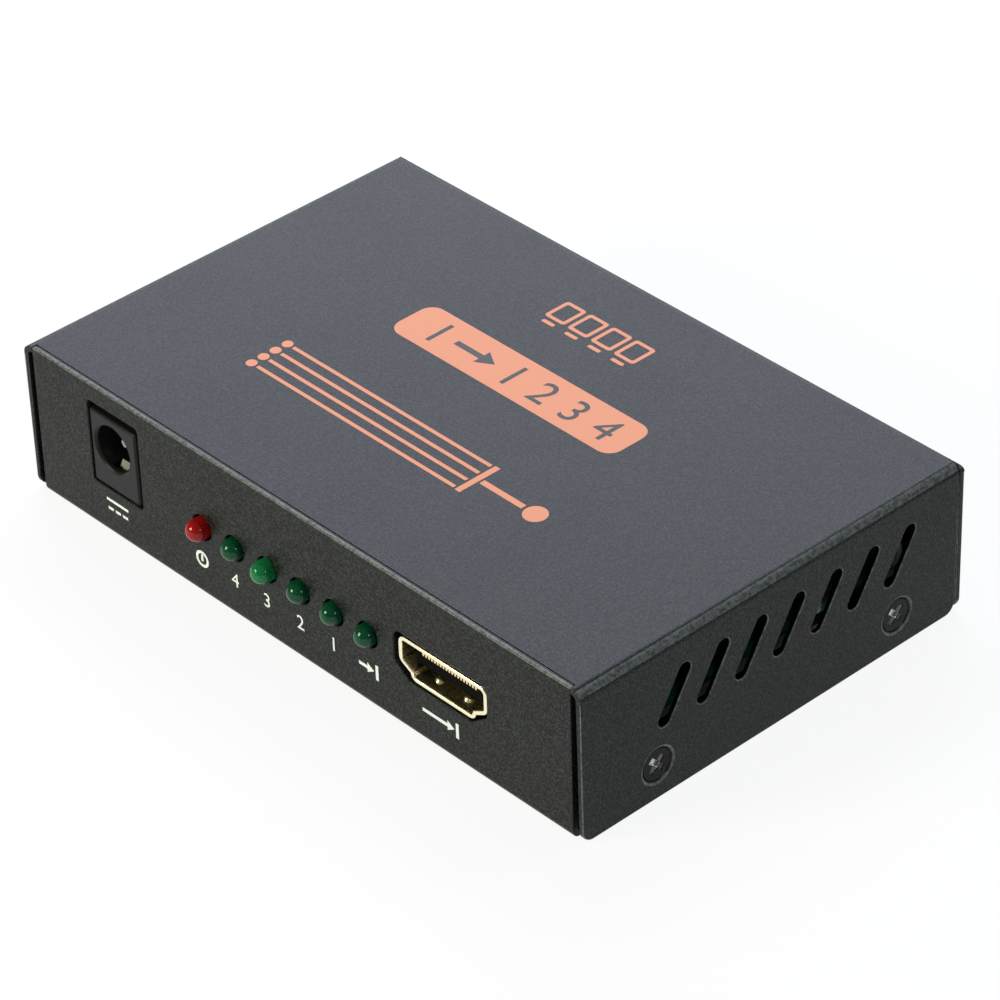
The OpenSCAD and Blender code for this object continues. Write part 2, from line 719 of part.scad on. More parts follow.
// Ten contacts above the tongue and nine below, and their tails behind the foot
module socket_contacts() {
  run = port_l - block_l - tongue_recess;
  color("#e8c766") {
    for (i = [0 : 9])
      translate([(i - 4.5) * contact_pitch - contact_w / 2, tongue_recess, tongue_t / 2])
        cube([contact_w, run, contact_t]);
    for (i = [0 : 8])
      translate([(i - 4) * contact_pitch - contact_w / 2, tongue_recess + contact_back, -tongue_t / 2 - contact_t])
        cube([contact_w, run - contact_back, contact_t]);
    for (i = [0 : 18])
      translate([(i - 9) * contact_pitch / 2, port_l + foot_l, -port_axis_h])
        along_x(-tail_w / 2, tail_w / 2) polygon([
          [0, 0], [toe_l, 0], [toe_l, tail_t], [tail_t, tail_t],
          [tail_t, foot_top + tail_t], [0, foot_top + tail_t]
        ]);
  }
}

// Lamps

function lamp_tip_y(i) = -half_d - lamp_reach - lamp_forward[i] * lamp_extra;

module lamp(i) {
  r = lamp_d / 2;
  translate([lamp_xs[i], lamp_tip_y(i), lamp_z]) {
    translate([0, r, 0]) sphere(r);
    translate([0, lamp_l - lamp_flange_l / 2, 0]) rotate([90, 0, 0])
      cylinder(h = lamp_l - lamp_flange_l / 2 - r, r = r);
    translate([0, lamp_l, 0]) rotate([90, 0, 0]) cylinder(h = lamp_flange_l, r = lamp_flange_d / 2);
  }
}

module lamp_leads() {
  w = lead_w / 2;
  color("#bfc3c8") for (i = [0 : 5], s = [-1, 1])
    translate([lamp_xs[i] + s * lead_spread, 0, 0]) along_x(-w, w) polygon([
      [lamp_tip_y(i) + lamp_l, lamp_z - w], [lead_y - w, lamp_z - w], [lead_y - w, board_low],
      [lead_y + w, board_low], [lead_y + w, lamp_z + w], [lamp_tip_y(i) + lamp_l, lamp_z + w]
    ]);
}

// Parts on the board

module on_board(at) translate([at[0], at[1], board_top]) children();

// Row of gull wing leads along +X of a body, from its side at x = 0 down to the board
module wing_leads(count, pitch, w, height) {
  t = 0.2;
  reach = 1;
  for (i = [0 : count - 1])
    translate([0, (i - (count - 1) / 2) * pitch, 0]) along_y(-w / 2, w / 2) polygon([
      [0, height / 2], [reach / 2 - t, height / 2], [reach / 2 - t, 0], [reach, 0],
      [reach, t], [reach / 2, t], [reach / 2, height / 2 + t], [0, height / 2 + t]
    ]);
}

module splitter_chip() {
  color("#202124") on_board(chip_at)
    translate([-chip_w / 2, -chip_w / 2, chip_stand]) cube([chip_w, chip_w, chip_h]);
}

module splitter_chip_leads() {
  color("#c4c8cc") on_board(chip_at) for (turn = [0 : 90 : 270])
    rotate(turn) translate([chip_w / 2, 0, 0])
      wing_leads(chip_lead_count, chip_lead_pitch, chip_lead_w, chip_h);
}

module memory_chip() {
  color("#202124") on_board(memory_at)
    translate([-memory_size[0] / 2, -memory_size[1] / 2, chip_stand]) cube(memory_size);
}

module memory_chip_leads() {
  color("#c4c8cc") on_board(memory_at) for (turn = [0, 180])
    rotate(turn) translate([memory_size[0] / 2, 0, 0])
      wing_leads(4, memory_lead_pitch, memory_lead_w, memory_size[2]);
}

module voltage_regulator() {
  color("#202124") on_board(regulator_at)
    translate([-regulator_size[0] / 2, -regulator_size[1] / 2, chip_stand]) cube(regulator_size);
}

// Three leads at the front and the wide cooling tab at the rear
module regulator_leads() {
  color("#c4c8cc") on_board(regulator_at) {
    rotate(270) translate([regulator_size[1] / 2, 0, 0])
      wing_leads(3, regulator_lead_pitch, regulator_lead_w, regulator_size[2]);
    rotate(90) translate([regulator_size[1] / 2, 0, 0])
      wing_leads(1, 0, regulator_tab_w, regulator_size[2]);
  }
}

module power_coil() {
  r = 1;
  color("#3a3a3c") on_board(coil_at) linear_extrude(coil_h)
    soft_polygon(box_points(-coil_w / 2, -coil_w / 2, coil_w / 2, coil_w / 2), r);
}

// Metal cans on square plastic bases
module filter_capacitors() {
  color("#b8bcc2") for (at = cap_ats) on_board(at) {
    translate([-cap_d / 2, -cap_d / 2, 0]) cube([cap_d, cap_d, cap_base_h]);
    cylinder(h = cap_h, r = cap_d / 2 - slip_gap);
  }
}

module crystal_outline(grow) {
  run = crystal_l - crystal_d;
  translate([-run / 2, -crystal_d / 2 - grow]) square([run, crystal_d + 2 * grow]);
  for (s = [-1, 1]) translate([s * run / 2, 0]) circle(crystal_d / 2 + grow);
}

module clock_crystal() {
  rim = 0.4;
  color("#c9ccd0") on_board(crystal_at) {
    linear_extrude(crystal_base_h) crystal_outline(rim);
    linear_extrude(crystal_h) crystal_outline(0);
  }
}

module small_block() translate([-small_part[0] / 2, -small_part[1] / 2, 0]) cube(small_part);

// A row in front of the main chip, and a pair at each end of it
module chip_capacitors() {
  color("#b59a72") {
    for (i = [-3 : 3]) on_board([chip_at[0] + i * resistor_pitch, capacitor_row_y]) small_block();
    for (s = [-1, 1], t = [-1, 1])
      on_board(chip_at + [s * (chip_w / 2 + capacitor_side_gap), t * chip_w / 4]) rotate(90) small_block();
  }
}

// Four in front of each output socket
module chip_resistors() {
  color("#242528") for (x = output_xs, i = [-1.5 : 1 : 1.5])
    on_board([x + i * resistor_pitch, resistor_row_y]) rotate(90) small_block();
}

base_tray();
top_cover();
cover_screws();
circuit_board();
board_standoffs();
board_screws();
jack_body();
jack_pin();
jack_leaf_spring();
jack_sleeve_terminal();
jack_switch_terminal();
at_input() socket_shell();  // input_socket_shell
at_input() socket_tongue();  // input_socket_tongue
at_input() socket_contacts();  // input_socket_contacts
at_output(0) socket_shell();  // output_socket_1_shell
at_output(0) socket_tongue();  // output_socket_1_tongue
at_output(0) socket_contacts();  // output_socket_1_contacts
at_output(1) socket_shell();  // output_socket_2_shell
at_output(1) socket_tongue();  // output_socket_2_tongue
at_output(1) socket_contacts();  // output_socket_2_contacts
at_output(2) socket_shell();  // output_socket_3_shell
at_output(2) socket_tongue();  // output_socket_3_tongue
at_output(2) socket_contacts();  // output_socket_3_contacts
at_output(3) socket_shell();  // output_socket_4_shell
at_output(3) socket_tongue();  // output_socket_4_tongue
at_output(3) socket_contacts();  // output_socket_4_contacts
color("#a01818") lamp(0);  // power_lamp
color("#1f7a3c") lamp(1);  // channel_lamp_4
color("#1f7a3c") lamp(2);  // channel_lamp_3
color("#1f7a3c") lamp(3);  // channel_lamp_2
color("#1f7a3c") lamp(4);  // channel_lamp_1
color("#1f7a3c") lamp(5);  // input_lamp
lamp_leads();
splitter_chip();
splitter_chip_leads();
memory_chip();
memory_chip_leads();
voltage_regulator();
regulator_leads();
power_coil();
filter_capacitors();
clock_crystal();
chip_capacitors();
chip_resistors();
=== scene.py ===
import json
import math

import bmesh
import bpy
import numpy as np
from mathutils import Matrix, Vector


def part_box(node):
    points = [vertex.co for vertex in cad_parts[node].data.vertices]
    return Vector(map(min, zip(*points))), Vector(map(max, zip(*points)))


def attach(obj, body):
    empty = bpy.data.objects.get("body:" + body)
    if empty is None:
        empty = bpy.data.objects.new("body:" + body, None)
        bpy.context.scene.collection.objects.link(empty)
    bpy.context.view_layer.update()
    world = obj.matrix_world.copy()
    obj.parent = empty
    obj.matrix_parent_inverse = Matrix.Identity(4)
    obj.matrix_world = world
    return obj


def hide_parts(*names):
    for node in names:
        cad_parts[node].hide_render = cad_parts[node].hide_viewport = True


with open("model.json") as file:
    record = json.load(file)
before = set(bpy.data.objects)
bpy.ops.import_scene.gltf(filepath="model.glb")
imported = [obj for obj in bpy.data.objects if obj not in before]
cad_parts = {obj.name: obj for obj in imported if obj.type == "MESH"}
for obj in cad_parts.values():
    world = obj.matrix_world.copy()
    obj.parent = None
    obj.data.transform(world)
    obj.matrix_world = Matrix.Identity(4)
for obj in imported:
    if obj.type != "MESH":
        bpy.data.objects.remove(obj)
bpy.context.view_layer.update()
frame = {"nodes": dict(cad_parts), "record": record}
nodes = frame["nodes"]
mm = 0.001  # sizes below are in millimetres, meshes in metres
print("frame loaded:", len(nodes), "nodes")

# Camera, floor and light

cameraSet = {
    "place": (345.52, -307.54, 340.81),
    "turn": (54.166, 1.563, 46.998),  # degrees about X, Y, Z
    "lens": 166.56,
    "reach": 20000,
}

lightSet = {
    # direction from the object, distance, side of the square lamp, power in watts, colour
    "frontLeftLamp": ((-0.36, -0.83, 0.425), 900, 300, 6.0, (0.97, 1.0, 0.72)),
    "rightLamp": ((0.843, -0.031, 0.542), 900, 220, 1.7, (0.62, 0.88, 1.0)),
    "rearSoftbox": ((-0.604, 0.541, 0.585), 1000, 850, 11.8, (0.81, 0.855, 1.0)),
    "edgeLamp": ((0.23, 0.54, 0.81), 1000, 220, 1.2, (0.95, 0.98, 1.0)),
}

floorSet = {
    "side": 6000,
    "shade": (0.95, 0.95, 0.95),
    "whiteShare": 0.9,  # how much of the floor's look is plain white, the rest takes the shadow
    "skyLevel": 0.15,
}


def toLinear(red, green, blue):
    # sRGB numbers from 0 to 255 as linear light: a straight line near black, a power of 2.4 above it
    shade = np.array([red, green, blue]) / 255
    low = shade / 12.92
    high = ((shade + 0.055) / 1.055) ** 2.4
    return tuple(np.where(shade <= 0.04045, low, high))


class Wire:
    # One value in a material: an operator on it adds a Math node
    def __init__(self, finish, socket):
        self.finish = finish
        self.socket = socket

    def maths(self, operation, first, second=0.0):
        return self.finish.node("ShaderNodeMath", {"operation": operation}, {0: first, 1: second})

    def __add__(self, other):
        return self.maths("ADD", self, other)

    def __radd__(self, other):
        return self.maths("ADD", other, self)

    def __sub__(self, other):
        return self.maths("SUBTRACT", self, other)

    def __rsub__(self, other):
        return self.maths("SUBTRACT", other, self)

    def __mul__(self, other):
        return self.maths("MULTIPLY", self, other)

    def __rmul__(self, other):
        return self.maths("MULTIPLY", other, self)

    def __gt__(self, other):
        return self.maths("GREATER_THAN", self, other)

    def __lt__(self, other):
        return self.maths("LESS_THAN", self, other)

    def __abs__(self):
        return self.maths("ABSOLUTE", self)


class Finish:
    # A material with one shader, whose constant values are set straight on its sockets
    def __init__(self, name, constants, shader="ShaderNodeBsdfPrincipled"):
        self.material = bpy.data.materials.new(name)
        self.material.use_nodes = True
        self.tree = self.material.node_tree
        self.tree.nodes.clear()
        surface = self.node(shader, {}, constants)
        self.shader = surface.socket.node
        self.output = self.node("ShaderNodeOutputMaterial", {}, {"Surface": surface}, None)

    def node(self, kind, settings, sockets, out=0):
        made = self.tree.nodes.new(kind)
        for key, value in settings.items():
            if key == "stops":
                self.setStops(made.color_ramp, value)
            else:
                setattr(made, key, value)
        for key, value in sockets.items():
            if isinstance(value, Wire):
                self.tree.links.new(value.socket, made.inputs[key])
            else:
                made.inputs[key].default_value = value
        return made if out is None else Wire(self, made.outputs[out])

    def setStops(self, ramp, stops):
        while len(ramp.elements) < len(stops):
            ramp.elements.new(0.5)
        for element, (place, colour) in zip(ramp.elements, stops):
            element.position = place
            element.color = colour

    def place(self, scale=(1, 1, 1)):
        spot = self.node("ShaderNodeTexCoord", {}, {}, "Object")
        return self.node("ShaderNodeMapping", {}, {"Vector": spot, "Scale": scale})

    def axes(self):
        # Where a point lies along X, Y and Z in millimetres
        spot = self.node("ShaderNodeTexCoord", {}, {}, "Object")
        split = self.node("ShaderNodeSeparateXYZ", {}, {"Vector": spot}, None)
        return [Wire(self, out) * (1 / mm) for out in split.outputs]

    def noise(self, grain, detail=2.0, spot=None):
        # grain is the size of one blotch in millimetres
        sockets = {"Vector": spot or self.place(), "Scale": 1 / (grain * mm), "Detail": detail}
        return self.node("ShaderNodeTexNoise", {}, sockets, "Fac")

    def ramp(self, value, stops):
        return self.node("ShaderNodeValToRGB", {"stops": stops}, {"Fac": value}, "Color")

    def blend(self, share, first, second):
        return self.node("ShaderNodeMix", {"data_type": "RGBA"}, {0: share, 6: first, 7: second}, 2)

    def bump(self, height, depth):
        sockets = {"Height": height, "Distance": depth * mm, "Strength": 1.0}
        return self.node("ShaderNodeBump", {}, sockets, "Normal")

    def feed(self, sockets):
        for key, value in sockets.items():
            self.tree.links.new(value.socket, self.shader.inputs[key])
        return self.material


def addCamera():
    data = bpy.data.cameras.new("photoCamera")
    data.lens = cameraSet["lens"]
    data.clip_end = cameraSet["reach"] * mm
    camera = bpy.data.objects.new("photoCamera", data)
    camera.location = np.array(cameraSet["place"]) * mm
    camera.rotation_euler = np.radians(cameraSet["turn"])
    bpy.context.scene.collection.objects.link(camera)
    bpy.context.scene.camera = camera


def addLights():
    for name, (way, distance, side, power, colour) in lightSet.items():
        data = bpy.data.lights.new(name, "AREA")
        data.shape = "SQUARE"
        data.size = side * mm
        data.energy = power
        data.color = colour
        lamp = bpy.data.objects.new(name, data)
        way = np.array(way) / np.linalg.norm(way)
        lamp.location = way * distance * mm
        lamp.rotation_euler = (math.acos(way[2]), 0, math.atan2(way[0], -way[1]))
        bpy.context.scene.collection.objects.link(lamp)
    world = bpy.data.worlds.new("paleRoom")
    world.use_nodes = True
    sky = world.node_tree.nodes["Background"]
    sky.inputs["Color"].default_value = (1, 1, 1, 1)
    sky.inputs["Strength"].default_value = floorSet["skyLevel"]
    bpy.context.scene.world = world


def floorFinish():
    # The camera, metal and glass see mostly plain white, and the rest is a lit surface with its shadow
    paper = Finish("floorPaper", {"Color": (*floorSet["shade"], 1)}, "ShaderNodeBsdfDiffuse")
    white = paper.node("ShaderNodeEmission", {}, {"Color": (1, 1, 1, 1), "Strength": 1.0})
    path = paper.node("ShaderNodeLightPath", {}, {}, None)
    seen = Wire(paper, path.outputs["Is Camera Ray"])
    seen = seen.maths("MAXIMUM", seen, Wire(paper, path.outputs["Is Glossy Ray"]))
    seen = seen.maths("MAXIMUM", seen, Wire(paper, path.outputs["Is Transmission Ray"]))
    lit = Wire(paper, paper.shader.outputs[0])
    share = seen * floorSet["whiteShare"]
    mixed = paper.node("ShaderNodeMixShader", {}, {0: share, 1: lit, 2: white})
    paper.tree.links.new(mixed.socket, paper.output.inputs["Surface"])
    return paper.material


def addFloor():
    half = floorSet["side"] / 2 * mm
    corners = np.array([[-half, -half, 0], [half, -half, 0], [half, half, 0], [-half, half, 0]])
    mesh = bpy.data.meshes.new("floor")
    mesh.from_pydata(corners.tolist(), [], [(0, 1, 2, 3)])
    mesh.materials.append(floorFinish())
    floor = bpy.data.objects.new("floor", mesh)
    bpy.context.scene.collection.objects.link(floor)


bpy.context.scene.view_settings.view_transform = "Standard"
addCamera()
addLights()
addFloor()
print("camera, lights and floor placed")

# Finishes

paintSet = {
    "dark": (0.0025, 0.003, 0.0028, 1),
    "light": (0.037, 0.040, 0.038, 1),
    "paintedHighlight": (0.17, 0.17, 0.165, 1),  # painted highlight laid along rims, folds and the panel's upper edge
    "cut": (0.0015, 0.0015, 0.0015, 1),  # painted shade on the walls of the vents
    "grain": 0.23,
    "bead": 0.5,
    "cloud": 14,
    "relief": 0.02,
    "roughness": 0.33,
    "roughSpread": 0.08,
}

edgeSet = {
    # Millimetres in the part's frame; x is counted from the middle plane
    "rim": (49.8, 49.985),  # x of the rounded rims just inside the outer faces of the sides
    "rimTop": 20.3,
    "fold": 70.98,  # x plus z of a point on the middle of a fold
    "foldHighlight": 0.75,
    # share of the painted highlight on the band along each fold
    "ventDepth": (48.8, 49.8),  # x of the vents' walls
    "ventHeight": (9, 20),
    "ventReach": 30,
    "panelTop": 21.76,  # z and y that bound the front half of the panel's upper edge
    "panelFront": -31.1,
    "crossFloor": 49.6,  # x below which a screw's cross lies
}


def paintFinish(name, highlightPlace, cutPlace=None):
    # Powder coat: pale flecks on a dark ground with the dimpled skin of a baked coat,
    # and a lighter colour painted in beads along some edges as a highlight
    paint = Finish(name, {"Specular IOR Level": 0.12, "IOR": 1.5})
    fleck = paint.noise(paintSet["grain"])
    skin = paint.noise(paintSet["grain"] * 1.5)
    cloud = paint.noise(paintSet["cloud"])
    flecks = paint.ramp(fleck, [(0.42, paintSet["dark"]), (0.70, paintSet["light"])])
    bead = paint.noise(paintSet["bead"])
    beads = paint.ramp(bead, [(0.36, (0.4, 0.4, 0.4, 1)), (0.62, (1, 1, 1, 1))])
    spot = paint.axes()
    # Painted highlight: the lighter colour, broken into beads, wherever the edge mask is set
    colour = paint.blend(highlightPlace(*spot) * beads, flecks, paintSet["paintedHighlight"])
    # Painted shade: near-black wherever the vent-wall mask is set
    if cutPlace:
        colour = paint.blend(cutPlace(*spot), colour, paintSet["cut"])
    spread = paintSet["roughSpread"]
    rough = paintSet["roughness"] + (cloud - 0.5) * spread + (fleck - 0.5) * spread
    relief = paint.bump(skin, paintSet["relief"])
    return paint.feed({"Base Color": colour, "Roughness": rough, "Normal": relief})


def between(value, limits):
    # One where a value lies between two limits, and nought elsewhere
    low, high = limits
    return (value > low) * (value < high)


def coverHighlights(x, y, z):
    # Painted highlight on the rims of the vents and screw sinks, and on a band along the middle of each fold
    rims = between(abs(x), edgeSet["rim"]) * (z < edgeSet["rimTop"])
    return rims + (abs(x) + z > edgeSet["fold"]) * edgeSet["foldHighlight"]


def ventWallShade(x, y, z):
    # Painted shade on the walls of the vents, behind their rims
    behind = between(abs(x), edgeSet["ventDepth"])
    return behind * between(z, edgeSet["ventHeight"]) * (abs(y) < edgeSet["ventReach"])


def trayHighlight(x, y, z):
    # Painted highlight on the front half of the front panel's upper edge
    return (z > edgeSet["panelTop"]) * (y < edgeSet["panelFront"])


def blackSteelFinish():
    # Black plated screws: worn a little brighter in blotches, with a painted highlight of pale grey down in
    # the cross
    steel = Finish("blackSteel", {"Metallic": 1.0})
    wear = steel.noise(0.4, 3.0)
    shade = steel.ramp(wear, [(0.4, (0.003, 0.003, 0.003, 1)), (0.75, (0.014, 0.014, 0.015, 1))])
    crossHighlight = abs(steel.axes()[0]) < edgeSet["crossFloor"]
    shade = steel.blend(crossHighlight, shade, (0.5, 0.5, 0.5, 1))
    rough = 0.16 + wear * 0.14
    return steel.feed({"Base Color": shade, "Roughness": rough, "Normal": steel.bump(wear, 0.012)})


def metalFinish(name, shade, tint, roughness, grain=0.4):
    # Plated or bare metal: two shades in soft blotches under a fine drawn grain
    metal = Finish(name, {"Metallic": 1.0})
    blotch = metal.noise(grain * 6)
    drawn = metal.noise(grain, 2.0, metal.place((0.15, 1.0, 1.0)))
    colour = metal.blend(blotch, (*shade, 1), (*tint, 1))
    rough = roughness + (drawn - 0.5) * 0.16
    return metal.feed({"Base Color": colour, "Roughness": rough, "Normal": metal.bump(drawn, 0.004)})


def plasticFinish(name, shade, roughness, grain=0.12, gloss=0.4):
    # Moulded plastic: a fine spark-eroded skin with cloudy gloss
    plastic = Finish(name, {"Specular IOR Level": gloss})
    skin = plastic.noise(grain)
    cloud = plastic.noise(2.5)
    deep = tuple(part * 0.75 for part in shade)
    colour = plastic.blend(cloud, (*deep, 1), (*shade, 1))
    rough = roughness + (cloud - 0.5) * 0.12
    return plastic.feed({"Base Color": colour, "Roughness": rough, "Normal": plastic.bump(skin, 0.008)})


def boardFinish():
    # Solder mask: bright green over copper tracks and darker between them
    board = Finish("solderMask", {"Specular IOR Level": 0.5, "Coat Weight": 0.3, "Coat Roughness": 0.15})
    spot = board.place((1, 0.12, 1))
    tracks = board.noise(1.1, 0.0, spot) > 0.5
    colour = board.blend(tracks, (0.002, 0.026, 0.012, 1), (0.006, 0.06, 0.028, 1))
    rough = 0.34 + (board.noise(3) - 0.5) * 0.1
    return board.feed({"Base Color": colour, "Roughness": rough, "Normal": board.bump(tracks, 0.02)})


def lensFinish(name, deep, bright):
    # Tinted clear resin: colour runs cloudy through it, and the moulded skin is polished
    lens = Finish(name, {"Transmission Weight": 0.4, "IOR": 1.45, "Specular IOR Level": 0.22})
    cloud = lens.noise(0.8)
    colour = lens.blend(cloud, (*deep, 1), (*bright, 1))
    return lens.feed({"Base Color": colour, "Roughness": 0.05 + cloud * 0.06})


def inkFinish(name, shade):
    # Screen print: even ink with a slightly grainy skin
    ink = Finish(name, {"Specular IOR Level": 0.3})
    grain = ink.noise(0.25, 3.0)
    thin = tuple(part * 0.86 for part in shade)
    colour = ink.blend(grain, (*thin, 1), (*shade, 1))
    return ink.feed({"Base Color": colour, "Roughness": 0.5 + (grain - 0.5) * 0.2})


finishes = {
    "case_paint": paintFinish("coverPaint", coverHighlights, ventWallShade),
    "black_steel": blackSteelFinish(),
    "board_green": boardFinish(),
    "plain_brass": metalFinish("plainBrass", (0.62, 0.46, 0.18), (0.72, 0.56, 0.25), 0.32),
    "bright_steel": metalFinish("brightSteel", (0.62, 0.63, 0.65), (0.74, 0.75, 0.76), 0.3),
    "dark_plastic": plasticFinish("darkPlastic", (0.028, 0.029, 0.030), 0.42),
    "bright_plating": metalFinish("brightPlating", (0.68, 0.66, 0.6), (0.8, 0.78, 0.72), 0.2),
    "spring_brass": metalFinish("springBrass", (0.75, 0.56, 0.24), (0.85, 0.68, 0.34), 0.28),
    "socket_gold": metalFinish("socketGold", (1.0, 0.90, 0.64), (1.0, 0.93, 0.70), 0.24),
    "contact_gold": metalFinish("contactGold", (1.0, 0.76, 0.34), (1.0, 0.82, 0.44), 0.2),
    "lamp_red": lensFinish("redLens", (0.34, 0.004, 0.004), (0.62, 0.012, 0.010)),
    "lamp_green": lensFinish("greenLens", (0.001, 0.055, 0.022), (0.003, 0.13, 0.05)),
    "grey_ferrite": plasticFinish("greyFerrite", (0.06, 0.06, 0.064), 0.6, 0.3),
    "can_metal": metalFinish("canMetal", (0.62, 0.64, 0.67), (0.7, 0.72, 0.74), 0.35),
    "tan_ceramic": plasticFinish("tanCeramic", (0.45, 0.34, 0.2), 0.45, 0.2),
}
orangeInk = inkFinish("orangeInk", toLinear(232, 144, 101))
darkInk = inkFinish("darkInk", (0.03, 0.03, 0.03))
whiteInk = inkFinish("whiteInk", toLinear(246, 250, 255))
slotOf = {part["node"]: part["material_slot"] for part in frame["record"]["subparts"]}
finishOf = {name: finishes[slotOf[name]] for name in nodes}
finishOf["base_tray"] = paintFinish("trayPaint", trayHighlight)
finishOf["channel_lamp_3"] = lensFinish("paleGreenLens", (0.006, 0.16, 0.05), (0.02, 0.36, 0.11))
# Nickel darkened far below its own shade: painted shade for the spring inside the jack's bore, so its glint
# stays small
finishOf["jack_leaf_spring"] = metalFinish("leafNickelShade", (0.09, 0.09, 0.086), (0.16, 0.16, 0.15), 0.36)
finishOf["jack_body"] = plasticFinish("jackPlastic", (0.011, 0.012, 0.0125), 0.36, 0.12, 0.16)
tongueFinish = plasticFinish("tonguePlastic", (0.003, 0.003, 0.003), 0.6, 0.12, 0.03)
finishOf.update({name: tongueFinish for name in nodes if name.endswith("_tongue")})


def dressNodes():
    for name, thing in nodes.items():
        thing.data.materials.clear()
        thing.data.materials.append(finishOf[name])


dressNodes()
print("finishes made:", len(finishes))

# Making pieces


def boxOf(node):
    # Lowest and highest corner of a node in millimetres
    low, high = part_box(node)
    return np.array(low) / mm, np.array(high) / mm


def gridFaces(rows, columns, ringRows, ringColumns):
    # Four corners of every cell of a grid, where a ring also joins its last row or column to the first
    row = np.arange(rows if ringRows else rows - 1)[:, None]
    column = np.arange(columns if ringColumns else columns - 1)[None, :]
    nextRow = (row + 1) % rows
    nextColumn = (column + 1) % columns
    cells = [row * columns + column, nextRow * columns + column,
             nextRow * columns + nextColumn, row * columns + nextColumn]
    return np.stack(cells, axis=-1).reshape(-1, 4)


def joinGrids(grids):
    # Each grid is (points of shape rows x columns x 3, ring along rows, ring along columns)
    points = []
    faces = []
    start = 0
    for grid, ringRows, ringColumns in grids:
        rows, columns = grid.shape[:2]
        points.append(grid.reshape(-1, 3))
        faces.append(gridFaces(rows, columns, ringRows, ringColumns) + start)
        start += rows * columns
    return np.concatenate(points), np.concatenate(faces)


def addPiece(name, mesh, finish, replaced=()):
    mesh.materials.clear()
    mesh.materials.append(finish)
    piece = bpy.data.objects.new(name, mesh)
    bpy.context.scene.collection.objects.link(piece)
    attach(piece, "case")
    if replaced:
        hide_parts(*replaced)
    return piece


weldSet = {
    "merge": 0.0005,  # points nearer than this many millimetres are one
    "sliver": 0.0004,  # and edges shorter than this are taken out
    "flat": 0.4,  # degrees within which faces count as one plane
    "gridSharp": 40,  # degrees from which an edge of a drawn piece is sharp
    "solidSharp": 32,  # and of a copied solid
    "bevelSteps": 2,
}


def gridMesh(name, grids):
    # Grids in millimetres as one welded mesh, so that poles and seams are closed and faces point outwards
    points, faces = joinGrids(grids)
    raw = bpy.data.meshes.new(name)
    raw.from_pydata((points * mm).tolist(), [], faces.tolist())
    return weld(raw, name, weldSet["gridSharp"])


def weld(raw, name, sharpAngle, flatten=False, outward=True):
    work = bmesh.new()
    work.from_mesh(raw)
    bmesh.ops.remove_doubles(work, verts=work.verts, dist=weldSet["merge"] * mm)
    bmesh.ops.dissolve_degenerate(work, edges=work.edges, dist=weldSet["sliver"] * mm)
    if flatten:
        limit = math.radians(weldSet["flat"])
        bmesh.ops.dissolve_limit(work, angle_limit=limit, verts=work.verts, edges=work.edges)
    if outward:
        bmesh.ops.recalc_face_normals(work, faces=work.faces)
    mesh = bpy.data.meshes.new(name)
    work.to_mesh(mesh)
    work.free()
    for extra in [layer.name for layer in mesh.attributes if layer.name == "custom_normal"]:
        mesh.attributes.remove(mesh.attributes[extra])
    mesh.shade_smooth()
    mesh.set_sharp_from_angle(angle=math.radians(sharpAngle))
    return mesh


def edgeAngles(mesh):
    # Angle between the two faces at each edge, and the middle of the edge in millimetres
    loopEdge = np.empty(len(mesh.loops), int)
    mesh.loops.foreach_get("edge_index", loopEdge)
    corners = np.empty(len(mesh.polygons), int)
    mesh.polygons.foreach_get("loop_total", corners)
    normal = np.empty(len(mesh.polygons) * 3)
    mesh.polygons.foreach_get("normal", normal)
    normal = normal.reshape(-1, 3)
    point = np.empty(len(mesh.vertices) * 3)
    mesh.vertices.foreach_get("co", point)
    ends = np.empty(len(mesh.edges) * 2, int)
    mesh.edges.foreach_get("vertices", ends)
    order = np.argsort(loopEdge, kind="stable")
    face = np.repeat(np.arange(len(corners)), corners)[order]
    edge, start, count = np.unique(loopEdge[order], return_index=True, return_counts=True)
    start = start[count == 2]
    turn = (normal[face[start]] * normal[face[start + 1]]).sum(axis=1)
    angle = np.zeros(len(mesh.edges))
    angle[edge[count == 2]] = np.degrees(np.arccos(np.clip(turn, -1, 1)))
    middle = point.reshape(-1, 3)[ends.reshape(-1, 2)].mean(axis=1) / mm
    return angle, middle


def softCopy(name, node, width, zones):
    # A merged copy of a node whose sharp edges are rounded off by width, or by a share of it inside a zone
    mesh = weld(nodes[node].data, name, weldSet["solidSharp"], flatten=True, outward=False)
    angle, middle = edgeAngles(mesh)
    middle[:, 0] = np.abs(middle[:, 0])
    weight = np.where(angle > weldSet["solidSharp"], 1.0, 0.0)
    for low, high, share in zones:
        inside = np.all((middle >= low) & (middle <= high), axis=1)
        weight[inside] *= share
    mesh.attributes.new("bevel_weight_edge", "FLOAT", "EDGE").data.foreach_set("value", weight)
    piece = addPiece(name, mesh, finishOf[node], [node])
    edge = piece.modifiers.new("roundedEdges", "BEVEL")
    edge.width = width * mm
    edge.segments = weldSet["bevelSteps"]
    edge.limit_method = "WEIGHT"
    edge.use_clamp_overlap = False
    edge.loop_slide = False
    # Large faces stay flat beside their rounded edges
    level = piece.modifiers.new("levelFaces", "WEIGHTED_NORMAL")
    level.keep_sharp = True


# Case, screws, jack body and plastic tongues with the soft edges of paint and moulding

